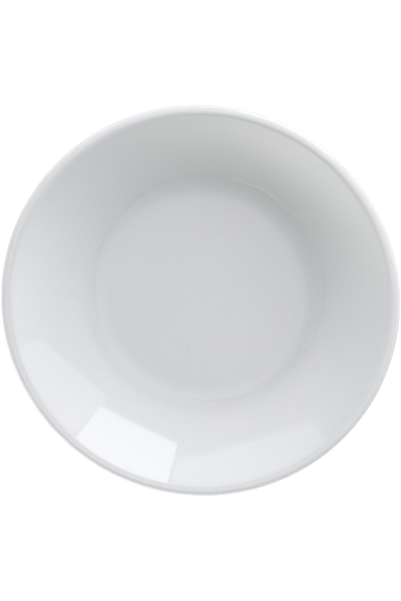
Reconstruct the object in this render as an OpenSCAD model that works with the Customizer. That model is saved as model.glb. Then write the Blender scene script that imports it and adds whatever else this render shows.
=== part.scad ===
// Soy sauce dish: a small round porcelain dish on a foot ring, under a thin glaze.
// The dish is turned about Z and stands on Z = 0. Sizes are in millimetres and are those of the
// glazed dish, so the porcelain lies one glaze thickness below every glazed surface.

/* [Dish] */
// Outside diameter at the lip
rim_diameter = 95; // [80:1:120]
// Height from the table to the top of the lip
height = 19; // [16:0.5:25]
// Diameter of the flat floor inside the dish
floor_diameter = 47.5; // [36:0.5:58]
// Thickness of the floor above the foot recess
floor_thickness = 4.4; // [3:0.1:6]
// Radius of the hollow corner between the floor and the wall
corner_radius = 12.5; // [6:0.5:16]
// Radius of the gentle hollow in the wall above that corner
wall_radius = 110; // [60:5:250]
// Radius of the lip's inner side, from the wall to the top of the lip
lip_inner_radius = 2.5; // [1.5:0.1:3.5]
// Radius of the lip's outer side, from the top of the lip to the belly
lip_outer_radius = 1.2; // [0.8:0.1:2]
// Radius of the belly on the outside of the wall
belly_radius = 70; // [45:5:250]

/* [Foot ring] */
// Outside diameter of the foot ring
foot_diameter = 53; // [40:1:60]
// Width of the foot ring
foot_width = 4.2; // [3:0.1:7]
// Depth of the recess inside the foot ring
recess_depth = 3; // [2.2:0.1:4]
// Radius of the foot ring's two lower edges
foot_edge_radius = 0.8; // [0.3:0.1:1.1]
// Radius of the hollow between the foot ring and the belly
foot_hollow_radius = 1.4; // [0.6:0.1:1.8]
// Radius of the hollow around the recess ceiling
recess_hollow_radius = 1; // [0.4:0.1:1.6]

/* [Glaze] */
// Thickness of the glaze
glaze_thickness = 0.3; // [0.15:0.05:0.5]
// Height of the band at the bottom of the foot ring that is wiped bare of glaze
bare_height = 1.2; // [0.8:0.1:1.6]

/* [Hidden] */
// Most that a straight step may stray from the curve it stands for
curve_tolerance = 0.01;
// Points nearer to each other than this are the same point
same_point = 0.0001;
// Steps around the turned shapes
turn_steps = 180;

floor_level = recess_depth + floor_thickness;
foot_radius = foot_diameter / 2;
foot_inner_radius = foot_radius - foot_width;
lip_top = [rim_diameter / 2 - lip_outer_radius, height];
lip_inner_centre = lip_top - [0, lip_inner_radius];
lip_outer_centre = lip_top - [0, lip_outer_radius];

// The hollow corner ends before the wall's run does
wall_run = lip_top.x - floor_diameter / 2;
corner = min(corner_radius, wall_run - floor_thickness);
corner_centre = [floor_diameter / 2, floor_level + corner];

// The belly's lower corner keeps the floor's thickness around the hollow corner
base = corner + floor_thickness;

// The wall touches the corner from inside and the lip from outside, and the belly wraps both
wall_centre = meeting_point(
    corner_centre, wall_radius - corner, lip_inner_centre, wall_radius + lip_inner_radius);
belly_centre = meeting_point(
    corner_centre, belly_radius - base, lip_outer_centre, belly_radius - lip_outer_radius);

// Directions in which the corner and the lip lie, seen from the centres of the wall and the belly
wall_start = bearing(wall_centre, corner_centre);
wall_end = bearing(wall_centre, lip_inner_centre);
belly_start = bearing(belly_centre, lip_outer_centre);
belly_end = bearing(belly_centre, corner_centre);

// The rounds of the foot ring end at its bare band
foot_edge = min(foot_edge_radius, bare_height);
foot_hollow = min(foot_hollow_radius, recess_depth - bare_height);
recess_hollow = min(recess_hollow_radius, recess_depth - bare_height);

// The hollow above the foot ring touches the ring's upright side and the underside above it,
// which is flat below the floor, rises along the belly's lower corner and then along the belly
foot_hollow_x = foot_radius + foot_hollow;
foot_meets_belly = -foot_hollow_bearing(corner_centre, base) > belly_end;
foot_host_centre = foot_meets_belly ? belly_centre : corner_centre;
foot_host_radius = foot_meets_belly ? belly_radius : base;
foot_hollow_angle = foot_hollow_bearing(foot_host_centre, foot_host_radius);
foot_hollow_drop = (foot_host_radius + foot_hollow) * sin(foot_hollow_angle);
foot_hollow_centre = [foot_hollow_x, foot_host_centre.y - foot_hollow_drop];

recess_hollow_centre = [foot_inner_radius - recess_hollow, recess_depth - recess_hollow];

// Point at distance a from p and b from q, on the left of the way from p to q
function meeting_point(p, a, q, b) =
    let (
        span = norm(q - p),
        along = (q - p) / span,
        left = [-along.y, along.x],
        x = (span * span + a * a - b * b) / (2 * span)
    )
    p + x * along + sqrt(a * a - x * x) * left;

// Direction from p to q, in degrees
function bearing(p, q) = atan2(q.y - p.y, q.x - p.x);

// Angle below level at which the foot hollow lies, seen from the centre of the round that it touches
function foot_hollow_bearing(centre, radius) =
    acos(max(0, foot_hollow_x - centre.x) / (radius + foot_hollow));

// Points along an arc, as many as the tolerance asks for
function arc(centre, radius, from, to) =
    let (steps = max(1, ceil(abs(to - from) / (2 * acos(1 - curve_tolerance / radius)))))
    [for (k = [0:steps])
        let (angle = from + (to - from) * k / steps)
        centre + radius * [cos(angle), sin(angle)]];

// Outline without the points that repeat the one before, where one arc ends on the next one's start
function distinct(points) =
    [for (k = [0:len(points) - 1])
        if (k == 0 || norm(points[k] - points[k - 1]) > same_point)
            points[k]];

function reversed(points) = [for (k = [len(points) - 1:-1:0]) points[k]];

// Outline of the rounded lip, sunk by depth, with points at its very top and its widest place
function lip_run(depth) = concat(
    arc(lip_inner_centre, lip_inner_radius - depth, wall_end + 180, 90),
    arc(lip_outer_centre, lip_outer_radius - depth, 90, 0),
    arc(lip_outer_centre, lip_outer_radius - depth, 0, belly_start)
);

// Outline of the main glazed surface, sunk by depth: from the middle of the floor up the wall,
// over the lip, down the belly and down the foot ring to the bare band
function dish_run(depth) = distinct(concat(
    [[0, floor_level - depth]],
    arc(corner_centre, corner + depth, -90, wall_start),
    arc(wall_centre, wall_radius + depth, wall_start, wall_end),
    lip_run(depth),
    foot_meets_belly
        ? arc(belly_centre, belly_radius - depth, belly_start, -foot_hollow_angle)
        : concat(
            arc(belly_centre, belly_radius - depth, belly_start, belly_end),
            arc(corner_centre, base - depth, belly_end, -foot_hollow_angle)
        ),
    arc(foot_hollow_centre, foot_hollow + depth, 180 - foot_hollow_angle, 180),
    [[foot_radius - depth, bare_height]]
));

// Outline of the glazed recess under the floor, sunk by depth: from the bare band to the middle
function recess_run(depth) = distinct(concat(
    [[foot_inner_radius + depth, bare_height]],
    arc(recess_hollow_centre, recess_hollow + depth, 0, 90),
    [[0, recess_depth + depth]]
));

// Outline of the bare bottom of the foot ring, from its outer side to its inner side
function bare_run() =
    let (
        outer_x = foot_radius - glaze_thickness - foot_edge,
        inner_x = foot_inner_radius + glaze_thickness + foot_edge
    )
    concat(
        arc([outer_x, foot_edge], foot_edge, 0, -90),
        arc([inner_x, foot_edge], foot_edge, -90, -180)
    );

// Solid turned about Z from half of its section
module turned(points) {
    rotate_extrude($fn = turn_steps)
        polygon(distinct(points));
}

// Coat between a glazed surface and the porcelain under it
module coat(surface, porcelain) {
    turned(concat(surface, reversed(porcelain)));
}

// Fired clay: floor, wall, lip and foot ring in one piece
module porcelain_body() {
    color("#e6e3dc")
        turned(concat(dish_run(glaze_thickness), bare_run(), recess_run(glaze_thickness)));
}

// Glaze on the inside, over the lip and down the outside
module glaze_coat() {
    color("#eef0f2")
        coat(dish_run(0), dish_run(glaze_thickness));
}

// Glaze inside the foot ring
module foot_recess_glaze() {
    color("#eef0f2")
        coat(recess_run(0), recess_run(glaze_thickness));
}

porcelain_body();
glaze_coat();
foot_recess_glaze();
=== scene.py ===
# Soy sauce dish: a small round porcelain dish under a white glaze, dressed around its solids.
import math

import bmesh
import bpy
from mathutils import Matrix, Vector, noise


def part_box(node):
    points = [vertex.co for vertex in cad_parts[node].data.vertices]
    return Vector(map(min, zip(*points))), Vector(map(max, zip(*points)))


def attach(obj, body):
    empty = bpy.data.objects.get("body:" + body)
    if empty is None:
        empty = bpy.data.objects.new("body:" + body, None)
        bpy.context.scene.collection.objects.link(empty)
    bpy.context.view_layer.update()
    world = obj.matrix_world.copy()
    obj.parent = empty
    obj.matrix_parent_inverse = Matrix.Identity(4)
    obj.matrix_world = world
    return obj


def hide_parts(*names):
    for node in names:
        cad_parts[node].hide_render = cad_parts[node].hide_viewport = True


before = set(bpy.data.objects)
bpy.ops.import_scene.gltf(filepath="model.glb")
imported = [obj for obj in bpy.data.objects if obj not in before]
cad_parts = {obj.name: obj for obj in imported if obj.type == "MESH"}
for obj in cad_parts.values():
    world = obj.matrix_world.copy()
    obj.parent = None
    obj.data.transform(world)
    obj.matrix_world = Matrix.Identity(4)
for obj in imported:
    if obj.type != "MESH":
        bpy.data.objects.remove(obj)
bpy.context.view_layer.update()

MM = 0.001

# Sizes that the solids give
glaze_low, glaze_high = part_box("glaze_coat")
_, body_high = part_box("porcelain_body")
_, recess_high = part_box("foot_recess_glaze")
RIM_RADIUS = glaze_high.x
HEIGHT = glaze_high.z
GLAZE = glaze_high.z - body_high.z
BARE_HEIGHT = glaze_low.z
RECESS_DEPTH = recess_high.z - GLAZE
FOOT_INNER_RADIUS = recess_high.x - GLAZE

# Sizes of the section that their boxes don't give
FLOOR_RADIUS = 23.75 * MM
FLOOR_THICKNESS = 4.4 * MM
CORNER_RADIUS = 12.5 * MM
WALL_RADIUS = 110 * MM
LIP_INNER_RADIUS = 2.5 * MM
LIP_OUTER_RADIUS = 1.2 * MM
BELLY_RADIUS = 70 * MM
FOOT_RADIUS = 26.5 * MM
FOOT_EDGE_RADIUS = 0.8 * MM
FOOT_HOLLOW_RADIUS = 1.4 * MM
RECESS_HOLLOW_RADIUS = 1 * MM

# Spacing of the points along the section, and the steps around the dish and the glaze's rounded ends
FLOOR_SPACING = 1.2 * MM
CORNER_SPACING = 0.1 * MM
WALL_SPACING = 0.25 * MM
BELLY_SPACING = 0.6 * MM
LIP_SPACING = 0.2 * MM
FOOT_SPACING = 0.25 * MM
HIDDEN_SPACING = 2 * MM
TURN_STEPS = 256
GLAZE_END_STEPS = 6

# Traces of the making: the well ring where the floor was pressed a hair deeper, the ripple of
# the glaze, the warp of the rim in the kiln, the wandering edge of the glaze at the foot and the
# rings of the turning tool in the recess
WELL_RING_RADIUS = 27.6 * MM
WELL_RING_CENTRE = Vector((1.55 * MM, 1.5 * MM))
WELL_RING_DEPTH = 0.035 * MM
WELL_RING_WIDTH = 0.4 * MM
RIPPLE_HEIGHT = 0.012 * MM
RIPPLE_LENGTH = 11 * MM
RIM_WARP = 0.08 * MM
RIM_WARP_WAVES = [(2, 1, 0.6), (3, 0.5, -1)]  # count around the rim, share, start in radians
EDGE_WANDER = 0.2 * MM
EDGE_FADE = 1.2 * MM
EDGE_WAVES = 2.2
TURNING_MARK_HEIGHT = 0.012 * MM
TURNING_MARK_SPACING = 2.3 * MM

# White of the glaze: faintly clouded and mottled, with painted light on the lip for the light that spreads
# through the thin rim, and slightly darker again at its outer edge
GLAZE_COOL = (0.822, 0.829, 0.836)
GLAZE_WARM = (0.838, 0.841, 0.843)
GLAZE_CLOUD_SIZE = 22 * MM
GLAZE_MOTTLE = (0.79, 0.795, 0.8)
MOTTLE_SIZE = 1.1 * MM
MOTTLE_NOISE = (0.5, 0.75)
MOTTLE_SHARE = (0, 0.3)
# Painted light on the lip, the slightly darker white at its outer edge, and the heights and reaches where
# they begin and end
PAINTED_LIP_LIGHT = (0.875, 0.88, 0.885)
GLAZE_EDGE = (0.815, 0.82, 0.825)
LIP_BAND_LOW = (HEIGHT - 1.6 * MM, HEIGHT - 0.9 * MM)
LIP_BAND_INNER = (RIM_RADIUS - 3.1 * MM, RIM_RADIUS - 2.5 * MM)
LIP_BAND_OUTER = (RIM_RADIUS - 0.7 * MM, RIM_RADIUS - 0.2 * MM)

# Gloss of the glaze and its faint peel, and how far light spreads in the white below, which the
# meshes keep as a change of their normals
GLAZE_ROUGHNESS = 0.05
GLAZE_IOR = 1.5
PEEL_SIZE = 3 * MM
PEEL_HEIGHT = 0.002 * MM
GLAZE_SCATTER = 1.5 * MM
SOFTENING_LAYER = "softening"

# Painted shade: an uneven grey line just outside the well ring, standing in for the shade along the ring's
# step, which ends below the floor and so spares the belly
RING_SHADE = (0.62, 0.625, 0.63)
RING_SHADE_STRENGTH = 0.2
RING_SHADE_OFFSET = 0.3 * MM
RING_SHADE_REACH = (0.6 * MM, 0)
RING_SHADE_DEPTHS = (0.6 * MM, 0.2 * MM)
RING_PATCH_SIZE = 9 * MM
RING_PATCH_NOISE = (0.38, 0.6)
RING_PATCH_SHARE = (0.1, 1)

# Bare clay: clouded and gritty, rubbed in patches where it stands
CLAY_LIGHT = (0.82, 0.79, 0.735)
CLAY_DARK = (0.77, 0.735, 0.675)
CLAY_CLOUD_SIZE = 5 * MM
CLAY_ROUGHNESS = (0.7, 0.9)
CLAY_GRAIN = (0.6, 0.56, 0.5)
GRAIN_NOISE = (0.58, 0.7)
GRAIN_SHARE = (0, 0.45)
GRIT_SIZE = 0.28 * MM
GRIT_HEIGHT = 0.03 * MM
CLAY_RUBBED = (0.56, 0.54, 0.51)
RUBBED_LEVELS = (0.1 * MM, 0.02 * MM)
RUBBED_PATCH_SIZE = 1.6 * MM
RUBBED_PATCH_NOISE = (0.42, 0.6)
RUBBED_PATCH_SHARE = (0, 0.7)

# Values between which most of a noise lies, those that clouds are drawn from, and its middle
NOISE_RANGE = (0.3, 0.7)
CLOUD_NOISE = (0.35, 0.65)
NOISE_MIDDLE = (0.5, 0.5, 0.5)

# Iron specks in the glaze inside the dish: place and radius in millimetres
SPECKS = [
    ((41.7, 1.0, 16.2), 0.4),
    ((-3.4, -13.4, 7.4), 0.4),
    ((-3.2, -14.6, 7.4), 0.3),
    ((3.8, 15.3, 7.4), 0.35),
    ((-11.4, -26.3, 8.4), 0.3),
    ((1.4, -38.2, 13.9), 0.4),
    ((3.3, -37.4, 13.5), 0.3),
    ((-4.5, -35.2, 12.2), 0.3),
]
SPECK_COLOUR = (0.5, 0.49, 0.47)
SPECK_STRENGTH = 0.28
SPECK_CORE = 0.3
SPECK_PIT = 0.5
SPECK_RAG = 0.6 * MM
SPECK_RAG_SIZE = 0.7 * MM

# View of the photograph: its height and half of the rim's width in pixels, then real sizes
IMAGE_HEIGHT = 601
RIM_HALF_WIDTH = 200
VIEW_DISTANCE = 0.6
VIEW_TILT = math.radians(12.5)
VIEW_AZIMUTH = math.radians(72)
VIEW_TARGET = Vector((0.2 * MM, 0.65 * MM, HEIGHT - LIP_OUTER_RADIUS))
SENSOR = 36
CLIP_START = 0.01

# Floor: its colour where it passes light on, and its colour and glow where it is seen
FLOOR_HALF_WIDTH = 4
FLOOR_SINK = 0.02 * MM
FLOOR_COLOUR = (0.9, 0.9, 0.9)
FLOOR_SEEN_COLOUR = (0.3, 0.3, 0.3)
FLOOR_GLOW = 0.82
FLOOR_GRAIN_SIZE = 40 * MM
FLOOR_GRAIN_SHARE = (0.98, 1)

# Panels around the dish: name, bearing in degrees, distance in metres, lean towards the dish in degrees,
# the left, right, lower and upper edge, seen from the panel, as shares of the distance, and the brightness
PANEL_TINT = (1.004, 1, 1.03)
PANELS = [
    ("window", 64, 2, 20, -0.319, 0.263, 0.2, 0.766, 3.32),
    ("panel_right", 52, 2, 0, -1.2, -0.2, 0.3, 1, 1.2),
    ("panel_left", 103, 2, 0, -0.35, 0.9, 0.3, 0.85, 1.2),
    ("near_card", 237, 0.12, 0, -0.8, 1.5, -0.155, 0.015, 3),
]

# Soft glows of the room: name, bearing in degrees, narrowness, height of the middle and spread of
# the height as shares of a unit sphere, the brightness and the tint
COOL_TINT = (0.993, 1, 1.014)
WARM_TINT = (0.985, 1, 0.96)
GLOWS = [
    ("below_window", 30, 1.6, 0.25, 0.14, 2.06, COOL_TINT),
    ("near_low", 239, 4.6, 0.19, 0.165, 3.45, WARM_TINT),
    ("left_low", 145, 8, 0.19, 0.08, 9.1, COOL_TINT),
    ("left_high", 153, 6, 0.68, 0.15, 1.74, COOL_TINT),
    ("near_high", 265, 0.5, 0.9, 0.15, 1, COOL_TINT),
    ("right_low", 348, 8, 0.43, 0.22, 3.1, COOL_TINT),
    ("overhead", 0, 0, 1, 0.057, 1.7, COOL_TINT),
]


# Section of the dish

def meeting_point(p, p_distance, q, q_distance):
    """Point at these distances from p and q, on the left of the way from p to q."""
    span = (q - p).length
    along = (q - p) / span
    left = Vector((-along.y, along.x))
    x = (span ** 2 + p_distance ** 2 - q_distance ** 2) / (2 * span)
    return p + x * along + math.sqrt(p_distance ** 2 - x ** 2) * left


def bearing(p, q):
    """Direction from p to q."""
    return math.atan2(q.y - p.y, q.x - p.x)


def arc(centre, radius, start, end, spacing):
    """Points along an arc, without its last one."""
    steps = max(2, math.ceil(abs(end - start) * radius / spacing))
    angles = [start + (end - start) * k / steps for k in range(steps)]
    return [centre + radius * Vector((math.cos(a), math.sin(a))) for a in angles]


def line(start, end, spacing):
    """Points along a straight line, without its last one."""
    steps = max(1, math.ceil((end - start).length / spacing))
    return [start.lerp(end, k / steps) for k in range(steps)]


QUARTER = math.pi / 2
FLOOR_LEVEL = RECESS_DEPTH + FLOOR_THICKNESS
BASE_RADIUS = CORNER_RADIUS + FLOOR_THICKNESS
lip_top = Vector((RIM_RADIUS - LIP_OUTER_RADIUS, HEIGHT))
lip_inner_centre = lip_top - Vector((0, LIP_INNER_RADIUS))
lip_outer_centre = lip_top - Vector((0, LIP_OUTER_RADIUS))
corner_centre = Vector((FLOOR_RADIUS, FLOOR_LEVEL + CORNER_RADIUS))
wall_centre = meeting_point(
    corner_centre, WALL_RADIUS - CORNER_RADIUS, lip_inner_centre, WALL_RADIUS + LIP_INNER_RADIUS)
belly_centre = meeting_point(
    corner_centre, BELLY_RADIUS - BASE_RADIUS, lip_outer_centre, BELLY_RADIUS - LIP_OUTER_RADIUS)
wall_start = bearing(wall_centre, corner_centre)
wall_end = bearing(wall_centre, lip_inner_centre)
belly_start = bearing(belly_centre, lip_outer_centre)
belly_end = bearing(belly_centre, corner_centre)
hollow_x = FOOT_RADIUS + FOOT_HOLLOW_RADIUS
hollow_angle = math.acos((hollow_x - corner_centre.x) / (BASE_RADIUS + FOOT_HOLLOW_RADIUS))
hollow_drop = (BASE_RADIUS + FOOT_HOLLOW_RADIUS) * math.sin(hollow_angle)
hollow_centre = Vector((hollow_x, corner_centre.y - hollow_drop))
recess_hollow_centre = Vector(
    (FOOT_INNER_RADIUS - RECESS_HOLLOW_RADIUS, RECESS_DEPTH - RECESS_HOLLOW_RADIUS))


def dish_run(depth, coarse=0):
    """Main glazed surface, sunk by depth: floor, wall, lip, belly and foot, down to the bare band."""
    corner = CORNER_RADIUS + depth
    lip_inner = LIP_INNER_RADIUS - depth
    lip_outer = LIP_OUTER_RADIUS - depth
    floor_middle = Vector((0, FLOOR_LEVEL - depth))
    floor_edge = Vector((FLOOR_RADIUS, FLOOR_LEVEL - depth))
    foot_top = Vector((FOOT_RADIUS - depth, hollow_centre.y))
    foot_end = Vector((FOOT_RADIUS - depth, BARE_HEIGHT))
    run = line(floor_middle, floor_edge, max(coarse, FLOOR_SPACING))
    run += arc(corner_centre, corner, -QUARTER, wall_start, max(coarse, CORNER_SPACING))
    run += arc(wall_centre, WALL_RADIUS + depth, wall_start, wall_end, max(coarse, WALL_SPACING))
    run += arc(lip_inner_centre, lip_inner, wall_end + math.pi, QUARTER, LIP_SPACING)
    run += arc(lip_outer_centre, lip_outer, QUARTER, belly_start, LIP_SPACING)
    run += arc(belly_centre, BELLY_RADIUS - depth, belly_start, belly_end, max(coarse, BELLY_SPACING))
    run += arc(corner_centre, BASE_RADIUS - depth, belly_end, -hollow_angle, FOOT_SPACING)
    run += arc(hollow_centre, FOOT_HOLLOW_RADIUS + depth, math.pi - hollow_angle, math.pi, FOOT_SPACING)
    run += line(foot_top, foot_end, FOOT_SPACING)
    return run + [foot_end]


def recess_run(depth, coarse=0):
    """Glazed recess inside the foot ring, sunk by depth, from its middle to the bare band."""
    middle = Vector((0, RECESS_DEPTH + depth))
    ceiling_edge = Vector((recess_hollow_centre.x, RECESS_DEPTH + depth))
    side_top = Vector((FOOT_INNER_RADIUS + depth, recess_hollow_centre.y))
    side_end = Vector((FOOT_INNER_RADIUS + depth, BARE_HEIGHT))
    run = line(middle, ceiling_edge, max(coarse, BELLY_SPACING))
    run += arc(recess_hollow_centre, RECESS_HOLLOW_RADIUS + depth, QUARTER, 0, FOOT_SPACING)
    run += line(side_top, side_end, FOOT_SPACING)
    return run + [side_end]


def bare_run():
    """Bare bottom of the foot ring, from its outer side to its inner side."""
    outer = Vector((FOOT_RADIUS - GLAZE - FOOT_EDGE_RADIUS, FOOT_EDGE_RADIUS))
    inner = Vector((FOOT_INNER_RADIUS + GLAZE + FOOT_EDGE_RADIUS, FOOT_EDGE_RADIUS))
    under = Vector((0, -FOOT_EDGE_RADIUS))
    run = arc(outer, FOOT_EDGE_RADIUS, 0, -QUARTER, FOOT_SPACING)
    run += line(outer + under, inner + under, FOOT_SPACING)
    return run + arc(inner, FOOT_EDGE_RADIUS, -QUARTER, -math.pi, FOOT_SPACING)


def rounded_edge(end, side):
    """Rounded end of the glaze below the last point of its surface, towards the clay on that side."""
    nose = Vector((end.x + side * GLAZE / 2, end.y))
    start = QUARTER + side * QUARTER
    turn = math.pi * side
    angles = [start + turn * k / GLAZE_END_STEPS for k in range(1, GLAZE_END_STEPS)]
    return [nose + GLAZE / 2 * Vector((math.cos(a), math.sin(a))) for a in angles]


# Traces of the making, as offsets of the finished surface

def smooth_step(value):
    """Value between 0 and 1 that starts and ends softly."""
    value = min(max(value, 0), 1)
    return value * value * (3 - 2 * value)


def warp(point):
    """Lift of a point by the warp of the rim, nothing at the foot."""
    angle = math.atan2(point.y, point.x)
    reach = (point.x ** 2 + point.y ** 2) / RIM_RADIUS ** 2
    rise = smooth_step((point.z - RECESS_DEPTH) / (HEIGHT - RECESS_DEPTH))
    wave = sum(share * math.cos(count * angle + start) for count, share, start in RIM_WARP_WAVES)
    return RIM_WARP * reach * rise * wave


def ripple(point):
    """Rise and fall of the glaze's surface."""
    return RIPPLE_HEIGHT * noise.noise(point / RIPPLE_LENGTH)


def well_ring(point):
    """Depth of the floor below the wall's own hollow, inside the well ring."""
    offset = (point.xy - WELL_RING_CENTRE).length - WELL_RING_RADIUS
    return -WELL_RING_DEPTH * (1 - smooth_step(offset / WELL_RING_WIDTH + 0.5))


def turning_marks(point):
    """Faint rings that the turning tool left under the dish."""
    return TURNING_MARK_HEIGHT * math.sin(2 * math.pi * point.xy.length / TURNING_MARK_SPACING)


def edge_wander(point):
    """Rise and fall of the glaze's edge around the foot."""
    angle = math.atan2(point.y, point.x)
    place = Vector((math.cos(angle), math.sin(angle), point.xy.length / FOOT_RADIUS)) * EDGE_WAVES
    fade = 1 - smooth_step((point.z - BARE_HEIGHT) / EDGE_FADE)
    return EDGE_WANDER * noise.noise(place) * fade


# Meshes

def add_object(name, data):
    """New object in the scene."""
    added = bpy.data.objects.new(name, data)
    bpy.context.scene.collection.objects.link(added)
    return added


def normals_along(outline):
    """Direction to the left of the way at each point of an outline."""
    normals = []
    for k in range(len(outline)):
        way = outline[min(k + 1, len(outline) - 1)] - outline[max(k - 1, 0)]
        normals.append(Vector((-way.y, way.x)).normalized())
    return normals


def softening_along(outline):
    """Change of each normal when it is blurred as far as light spreads under the glaze."""
    normals = normals_along(outline)
    steps = [(after - point).length for point, after in zip(outline, outline[1:])] + [0]
    ways = [sum(steps[:k]) for k in range(len(outline))]
    changes = []
    for way, normal in zip(ways, normals):
        blurred = Vector((0, 0))
        for other_way, other_normal, step in zip(ways, normals, steps):
            blurred += other_normal * step * math.exp(-((other_way - way) / GLAZE_SCATTER) ** 2)
        changes.append(blurred.normalized() - normal)
    return changes


def turned_piece(name, outline, place, softening=()):
    """Closed mesh turned from an outline that starts and ends on the axis.

    The softening is that of the outline's first points, and the rest have none.
    """
    normals = normals_along(outline)
    work = bmesh.new()
    soft_layer = work.verts.layers.float_vector.new(SOFTENING_LAYER)
    rings = []
    for k, (point, normal) in enumerate(zip(outline, normals)):
        at_pole = k in (0, len(outline) - 1)
        ring = []
        for step in range(1 if at_pole else TURN_STEPS):
            angle = 2 * math.pi * step / TURN_STEPS
            across = Vector((math.cos(angle), math.sin(angle), 0))
            spot = across * point.x + Vector((0, 0, point.y))
            out = across * normal.x + Vector((0, 0, normal.y))
            vertex = work.verts.new(place(k, spot, out))
            if k < len(softening):
                vertex[soft_layer] = across * softening[k].x + Vector((0, 0, softening[k].y))
            ring.append(vertex)
        rings.append(ring)
    for ring, after in zip(rings, rings[1:]):
        for step in range(TURN_STEPS):
            corners = [ring[step % len(ring)], ring[(step + 1) % len(ring)],
                       after[(step + 1) % len(after)], after[step % len(after)]]
            work.faces.new(list(dict.fromkeys(corners)))
    bmesh.ops.recalc_face_normals(work, faces=work.faces)
    mesh = bpy.data.meshes.new(name)
    work.to_mesh(mesh)
    work.free()
    mesh.shade_smooth()
    return add_object(name, mesh)


def lifted(spot):
    """Spot as the warp of the rim leaves it."""
    return spot + Vector((0, 0, warp(spot)))


def porcelain_body():
    """Fired clay, bare only at the bottom of the foot ring."""
    outline = dish_run(GLAZE, HIDDEN_SPACING)[:-1]
    outline += line(Vector((FOOT_RADIUS - GLAZE, BARE_HEIGHT)),
                    Vector((FOOT_RADIUS - GLAZE, FOOT_EDGE_RADIUS)), FOOT_SPACING)
    outline += bare_run()
    outline += line(Vector((FOOT_INNER_RADIUS + GLAZE, FOOT_EDGE_RADIUS)),
                    Vector((FOOT_INNER_RADIUS + GLAZE, BARE_HEIGHT)), FOOT_SPACING)
    outline += reversed(recess_run(GLAZE, HIDDEN_SPACING))
    return turned_piece("porcelain_body_fired", outline, lambda k, spot, out: lifted(spot))


def glaze_coat():
    """Glaze on the inside, over the lip and down the outside."""
    skin = dish_run(0)
    inside_end = max(range(len(skin)), key=lambda k: skin[k].y)
    outline = skin + rounded_edge(skin[-1], -1)
    outline += reversed(dish_run(GLAZE, HIDDEN_SPACING))

    def place(k, spot, out):
        moved = lifted(spot)
        if k < len(skin):
            moved += out * ripple(spot)
        if k < inside_end:
            moved += out * well_ring(spot)
        return moved + Vector((0, 0, edge_wander(spot)))

    return turned_piece("glaze_coat_fired", outline, place, softening_along(skin))


def foot_recess_glaze():
    """Glaze inside the foot ring, over the faint rings of the turning tool."""
    skin = recess_run(0)
    outline = skin + rounded_edge(skin[-1], 1)
    outline += reversed(recess_run(GLAZE, HIDDEN_SPACING))

    def place(k, spot, out):
        moved = lifted(spot)
        if k < len(skin):
            moved += out * ripple(spot)
            moved += out * turning_marks(spot)
        return moved + Vector((0, 0, edge_wander(spot)))

    return turned_piece("foot_recess_glaze_fired", outline, place)


# Materials

def add_node(tree, kind, inputs=None, **settings):
    """New node. An input is a number, a colour, a vector or another node's output."""
    node = tree.nodes.new(kind)
    for name, value in settings.items():
        setattr(node, name, value)
    for name, value in (inputs or {}).items():
        if isinstance(value, bpy.types.NodeSocket):
            tree.links.new(value, node.inputs[name])
        else:
            node.inputs[name].default_value = value
    return node


def calculate(tree, operation, first, second=0.0):
    """Number worked out from numbers."""
    return add_node(tree, "ShaderNodeMath", {0: first, 1: second}, operation=operation).outputs[0]


def vector_node(tree, operation, first, second=(0, 0, 0)):
    """Node that works out a vector or a value from vectors."""
    return add_node(tree, "ShaderNodeVectorMath", {0: first, 1: second}, operation=operation)


def combine(tree, operation, first, second):
    """Vector worked out from two vectors."""
    return vector_node(tree, operation, first, second).outputs["Vector"]


def scale(tree, vector, factor):
    """Vector times a number."""
    inputs = {0: vector, "Scale": factor}
    return add_node(tree, "ShaderNodeVectorMath", inputs, operation="SCALE").outputs["Vector"]


def upright_part(tree, vector):
    """Z of a place or a direction."""
    return add_node(tree, "ShaderNodeSeparateXYZ", {0: vector}).outputs["Z"]


def noise_value(tree, place, size, detail):
    """Noise between about 0.3 and 0.7 whose patches have this size."""
    inputs = {"Vector": place, "Scale": 1 / size, "Detail": detail}
    return add_node(tree, "ShaderNodeTexNoise", inputs).outputs[0]


def ramp(tree, value, value_range, result_range):
    """Value carried from one range to another, and held at the ends."""
    inputs = {"Value": value, "From Min": value_range[0], "From Max": value_range[1],
              "To Min": result_range[0], "To Max": result_range[1]}
    return add_node(tree, "ShaderNodeMapRange", inputs).outputs[0]


def mix_colour(tree, factor, first, second):
    """Colour between two colours or other nodes' outputs."""
    node = tree.nodes.new("ShaderNodeMix")
    node.data_type = "RGBA"
    factor_socket, first_socket, second_socket = node.inputs[0], node.inputs[6], node.inputs[7]
    result_socket = node.outputs[2]
    tree.links.new(factor, factor_socket)
    for socket, colour in ((first_socket, first), (second_socket, second)):
        if isinstance(colour, bpy.types.NodeSocket):
            tree.links.new(colour, socket)
        else:
            socket.default_value = (*colour, 1)
    return result_socket


def new_material(name):
    """Material with its node tree, its shader and the place on the piece."""
    material = bpy.data.materials.new(name)
    material.use_nodes = True
    tree = material.node_tree
    place = tree.nodes.new("ShaderNodeTexCoord").outputs["Object"]
    return material, tree, tree.nodes["Principled BSDF"], place


def speck_mask(tree, place):
    """1 on the small dark specks in the glaze, with ragged edges, and 0 elsewhere."""
    inputs = {"Vector": place, "Scale": 1 / SPECK_RAG_SIZE}
    ragged = add_node(tree, "ShaderNodeTexNoise", inputs).outputs["Color"]
    shift = combine(tree, "SUBTRACT", ragged, NOISE_MIDDLE)
    ragged_place = combine(tree, "ADD", place, scale(tree, shift, SPECK_RAG))
    mask = None
    for spot, radius in SPECKS:
        away = vector_node(tree, "DISTANCE", ragged_place, Vector(spot) * MM).outputs["Value"]
        speck = ramp(tree, away, (radius * MM, SPECK_CORE * radius * MM), (0, 1))
        mask = speck if mask is None else calculate(tree, "MAXIMUM", mask, speck)
    return mask


def level_distance(tree, place, centre):
    """Distance from an upright line through this centre."""
    level_place = combine(tree, "MULTIPLY", place, (1, 1, 0))
    return vector_node(tree, "DISTANCE", level_place, centre.to_3d()).outputs["Value"]


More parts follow.
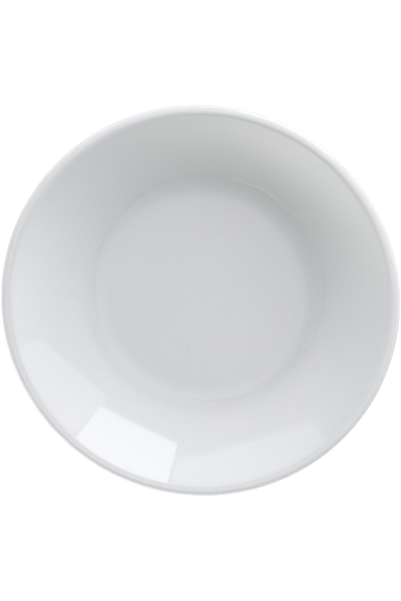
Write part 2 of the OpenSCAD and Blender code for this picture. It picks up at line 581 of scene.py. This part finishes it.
def lip_light_colour(tree, place, white):
    """Colour of the glaze with painted light on the lip, for the light that spreads through the thin rim,
    and slightly darker again at its outer edge.
    """
    reach = level_distance(tree, place, Vector((0, 0)))
    level = upright_part(tree, place)
    lit_lip = mix_colour(tree, ramp(tree, reach, LIP_BAND_INNER, (0, 1)), white, PAINTED_LIP_LIGHT)
    lip_with_edge = mix_colour(tree, ramp(tree, reach, LIP_BAND_OUTER, (0, 1)), lit_lip, GLAZE_EDGE)
    return mix_colour(tree, ramp(tree, level, LIP_BAND_LOW, (0, 1)), white, lip_with_edge)


def ring_shade_mask(tree, place):
    """1 along the painted shade line outside the well ring, and 0 elsewhere."""
    reach = level_distance(tree, place, WELL_RING_CENTRE)
    offset = calculate(tree, "SUBTRACT", reach, WELL_RING_RADIUS + RING_SHADE_OFFSET)
    near_line = ramp(tree, calculate(tree, "ABSOLUTE", offset), RING_SHADE_REACH, (0, 1))
    deep, shallow = RING_SHADE_DEPTHS
    inside = ramp(tree, upright_part(tree, place), (FLOOR_LEVEL - deep, FLOOR_LEVEL - shallow), (0, 1))
    patches = noise_value(tree, place, RING_PATCH_SIZE, detail=2)
    uneven = ramp(tree, patches, RING_PATCH_NOISE, RING_PATCH_SHARE)
    return calculate(tree, "MULTIPLY", calculate(tree, "MULTIPLY", near_line, inside), uneven)


def softened_normal(tree):
    """Normal of the white below the gloss, blurred by the light that spreads there."""
    normal = tree.nodes.new("ShaderNodeNewGeometry").outputs["Normal"]
    softening = add_node(tree, "ShaderNodeAttribute", attribute_name=SOFTENING_LAYER).outputs["Vector"]
    blurred = combine(tree, "ADD", normal, softening)
    return vector_node(tree, "NORMALIZE", blurred).outputs["Vector"]


def glaze_material():
    """White glaze: clouded a little, with a few iron specks, painted light on the lip and a painted shade
    line by the well ring, under a faintly uneven gloss.
    """
    material, tree, shader, place = new_material("white_glaze")
    clouds = ramp(tree, noise_value(tree, place, GLAZE_CLOUD_SIZE, detail=3), CLOUD_NOISE, (0, 1))
    white = mix_colour(tree, clouds, GLAZE_COOL, GLAZE_WARM)
    mottle = ramp(tree, noise_value(tree, place, MOTTLE_SIZE, detail=2), MOTTLE_NOISE, MOTTLE_SHARE)
    mottled = mix_colour(tree, mottle, white, GLAZE_MOTTLE)
    # Painted light on the lip, for the light that spreads through the thin rim
    lit_lip = lip_light_colour(tree, place, mottled)
    # Painted shade along the well ring's step, as a grey line in the glaze's colour
    ring = calculate(tree, "MULTIPLY", ring_shade_mask(tree, place), RING_SHADE_STRENGTH)
    ring_shaded = mix_colour(tree, ring, lit_lip, RING_SHADE)
    specks = speck_mask(tree, place)
    speck_share = calculate(tree, "MULTIPLY", specks, SPECK_STRENGTH)
    colour = mix_colour(tree, speck_share, ring_shaded, SPECK_COLOUR)
    peel = noise_value(tree, place, PEEL_SIZE, detail=1)
    height = calculate(tree, "SUBTRACT", peel, calculate(tree, "MULTIPLY", specks, SPECK_PIT))
    bump = add_node(tree, "ShaderNodeBump", {"Height": height, "Distance": PEEL_HEIGHT, "Strength": 1})
    tree.links.new(colour, shader.inputs["Base Color"])
    tree.links.new(softened_normal(tree), shader.inputs["Normal"])
    tree.links.new(bump.outputs[0], shader.inputs["Coat Normal"])
    shader.inputs["Specular IOR Level"].default_value = 0
    shader.inputs["Coat Weight"].default_value = 1
    shader.inputs["Coat Roughness"].default_value = GLAZE_ROUGHNESS
    shader.inputs["Coat IOR"].default_value = GLAZE_IOR
    return material


def clay_material():
    """Bare fired porcelain: dull and gritty, rubbed grey where it stands on the table."""
    material, tree, shader, place = new_material("bare_porcelain")
    clouds = ramp(tree, noise_value(tree, place, CLAY_CLOUD_SIZE, detail=4), CLOUD_NOISE, (0, 1))
    clay = mix_colour(tree, clouds, CLAY_LIGHT, CLAY_DARK)
    grit = noise_value(tree, place, GRIT_SIZE, detail=3)
    grains = ramp(tree, grit, GRAIN_NOISE, GRAIN_SHARE)
    gritty = mix_colour(tree, grains, clay, CLAY_GRAIN)
    standing = ramp(tree, upright_part(tree, place), RUBBED_LEVELS, (0, 1))
    patches = noise_value(tree, place, RUBBED_PATCH_SIZE, detail=4)
    patchy = ramp(tree, patches, RUBBED_PATCH_NOISE, RUBBED_PATCH_SHARE)
    rubbed = calculate(tree, "MULTIPLY", standing, patchy)
    colour = mix_colour(tree, rubbed, gritty, CLAY_RUBBED)
    dull = ramp(tree, grit, NOISE_RANGE, CLAY_ROUGHNESS)
    bump = add_node(tree, "ShaderNodeBump", {"Height": grit, "Distance": GRIT_HEIGHT, "Strength": 1})
    tree.links.new(colour, shader.inputs["Base Color"])
    tree.links.new(dull, shader.inputs["Roughness"])
    tree.links.new(bump.outputs[0], shader.inputs["Normal"])
    return material


def floor_material():
    """White floor that keeps the dish's shadow, faint on white."""
    material, tree, shader, place = new_material("floor_white")
    tree.nodes.remove(shader)
    grain_noise = noise_value(tree, place, FLOOR_GRAIN_SIZE, detail=2)
    grain = ramp(tree, grain_noise, NOISE_RANGE, FLOOR_GRAIN_SHARE)
    lit_colour = mix_colour(tree, grain, (0, 0, 0), FLOOR_COLOUR)
    seen_colour = mix_colour(tree, grain, (0, 0, 0), FLOOR_SEEN_COLOUR)
    lit = add_node(tree, "ShaderNodeBsdfDiffuse", {"Color": lit_colour})
    seen_lit = add_node(tree, "ShaderNodeBsdfDiffuse", {"Color": seen_colour})
    glow = add_node(tree, "ShaderNodeEmission", {"Strength": FLOOR_GLOW})
    seen = add_node(tree, "ShaderNodeAddShader", {0: seen_lit.outputs[0], 1: glow.outputs[0]})
    path = tree.nodes.new("ShaderNodeLightPath").outputs
    looked_at = calculate(tree, "MAXIMUM", path["Is Camera Ray"], path["Is Glossy Ray"])
    looked_at = calculate(tree, "MAXIMUM", looked_at, path["Is Transmission Ray"])
    choice = add_node(tree, "ShaderNodeMixShader",
                      {0: looked_at, 1: lit.outputs[0], 2: seen.outputs[0]})
    tree.links.new(choice.outputs[0], tree.nodes["Material Output"].inputs["Surface"])
    return material


# Camera, floor and light

def make_camera():
    """Camera of the photograph, which fits the rim's width to the picture."""
    aim = Vector((math.sin(VIEW_TILT) * math.cos(VIEW_AZIMUTH),
                  math.sin(VIEW_TILT) * math.sin(VIEW_AZIMUTH),
                  math.cos(VIEW_TILT)))
    data = bpy.data.cameras.new("camera")
    data.sensor_width = SENSOR
    data.lens = RIM_HALF_WIDTH / IMAGE_HEIGHT * SENSOR * VIEW_DISTANCE / RIM_RADIUS
    data.clip_start = CLIP_START
    camera = add_object("camera", data)
    right = Vector((0, 1, 0)).cross(aim).normalized()
    up = aim.cross(right)
    turn = Matrix((right, up, aim)).transposed().to_4x4()
    camera.matrix_world = Matrix.Translation(VIEW_TARGET + aim * VIEW_DISTANCE) @ turn
    bpy.context.scene.camera = camera


def make_floor():
    """Floor a hair below the foot, which belongs to the stage."""
    s = FLOOR_HALF_WIDTH
    mesh = bpy.data.meshes.new("floor")
    mesh.from_pydata([(-s, -s, 0), (s, -s, 0), (s, s, 0), (-s, s, 0)], [], [(0, 1, 2, 3)])
    mesh.materials.append(floor_material())
    floor = add_object("floor", mesh)
    floor.location.z = -FLOOR_SINK


def heading(degrees):
    """Level direction at this bearing, counted from +X towards +Y."""
    angle = math.radians(degrees)
    return Vector((math.cos(angle), math.sin(angle), 0))


def make_panel(name, facing, distance, lean, left, right, bottom, top, brightness):
    """Flat lamp that faces the dish, with its edges as shares of its distance."""
    away = heading(facing)
    aside = heading(facing + 90)
    tilt = math.radians(lean)
    up = Vector((0, 0, math.cos(tilt))) - away * math.sin(tilt)
    data = bpy.data.lights.new(name, "AREA")
    data.shape = "RECTANGLE"
    data.size = (right - left) * distance
    data.size_y = (top - bottom) * distance
    data.energy = brightness * math.pi * data.size * data.size_y
    data.color = PANEL_TINT
    panel = add_object(name, data)
    middle = away + aside * (left + right) / 2 + up * (bottom + top) / 2
    turn = Matrix((aside, up, aside.cross(up))).transposed().to_4x4()
    panel.matrix_world = Matrix.Translation(middle * distance + Vector((0, 0, HEIGHT))) @ turn
    panel.visible_camera = False


def glow_colour(tree, direction, facing, narrowness, height, spread, brightness, tint):
    """Soft patch of light around a bearing and a height in the sky."""
    towards = vector_node(tree, "DOT_PRODUCT", direction, heading(facing)).outputs["Value"]
    across = calculate(tree, "POWER", calculate(tree, "MAXIMUM", towards, 0), narrowness)
    above = calculate(tree, "SUBTRACT", upright_part(tree, direction), height)
    offset = calculate(tree, "DIVIDE", above, spread)
    fall = calculate(tree, "MULTIPLY", calculate(tree, "MULTIPLY", offset, offset), -1)
    along = calculate(tree, "EXPONENT", fall)
    share = calculate(tree, "MULTIPLY", across, along)
    return scale(tree, tint, calculate(tree, "MULTIPLY", share, brightness))


def make_world(glows):
    """Soft light of the room, as the sum of its glows."""
    world = bpy.data.worlds.new("room_light")
    world.use_nodes = True
    tree = world.node_tree
    direction = tree.nodes.new("ShaderNodeTexCoord").outputs["Generated"]
    total = None
    for _, *shape in glows:
        glow = glow_colour(tree, direction, *shape)
        total = glow if total is None else combine(tree, "ADD", total, glow)
    tree.links.new(total, tree.nodes["Background"].inputs["Color"])
    bpy.context.scene.world = world


make_camera()
make_floor()
make_world(GLOWS)
for panel in PANELS:
    make_panel(*panel)

glaze = glaze_material()
clay = clay_material()
body = porcelain_body()
body.data.materials.append(clay)
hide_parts("porcelain_body")
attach(body, "root")
coat = glaze_coat()
coat.data.materials.append(glaze)
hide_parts("glaze_coat")
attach(coat, "root")
recess = foot_recess_glaze()
recess.data.materials.append(glaze)
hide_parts("foot_recess_glaze")
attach(recess, "root")

bpy.context.scene.view_settings.view_transform = "Standard"
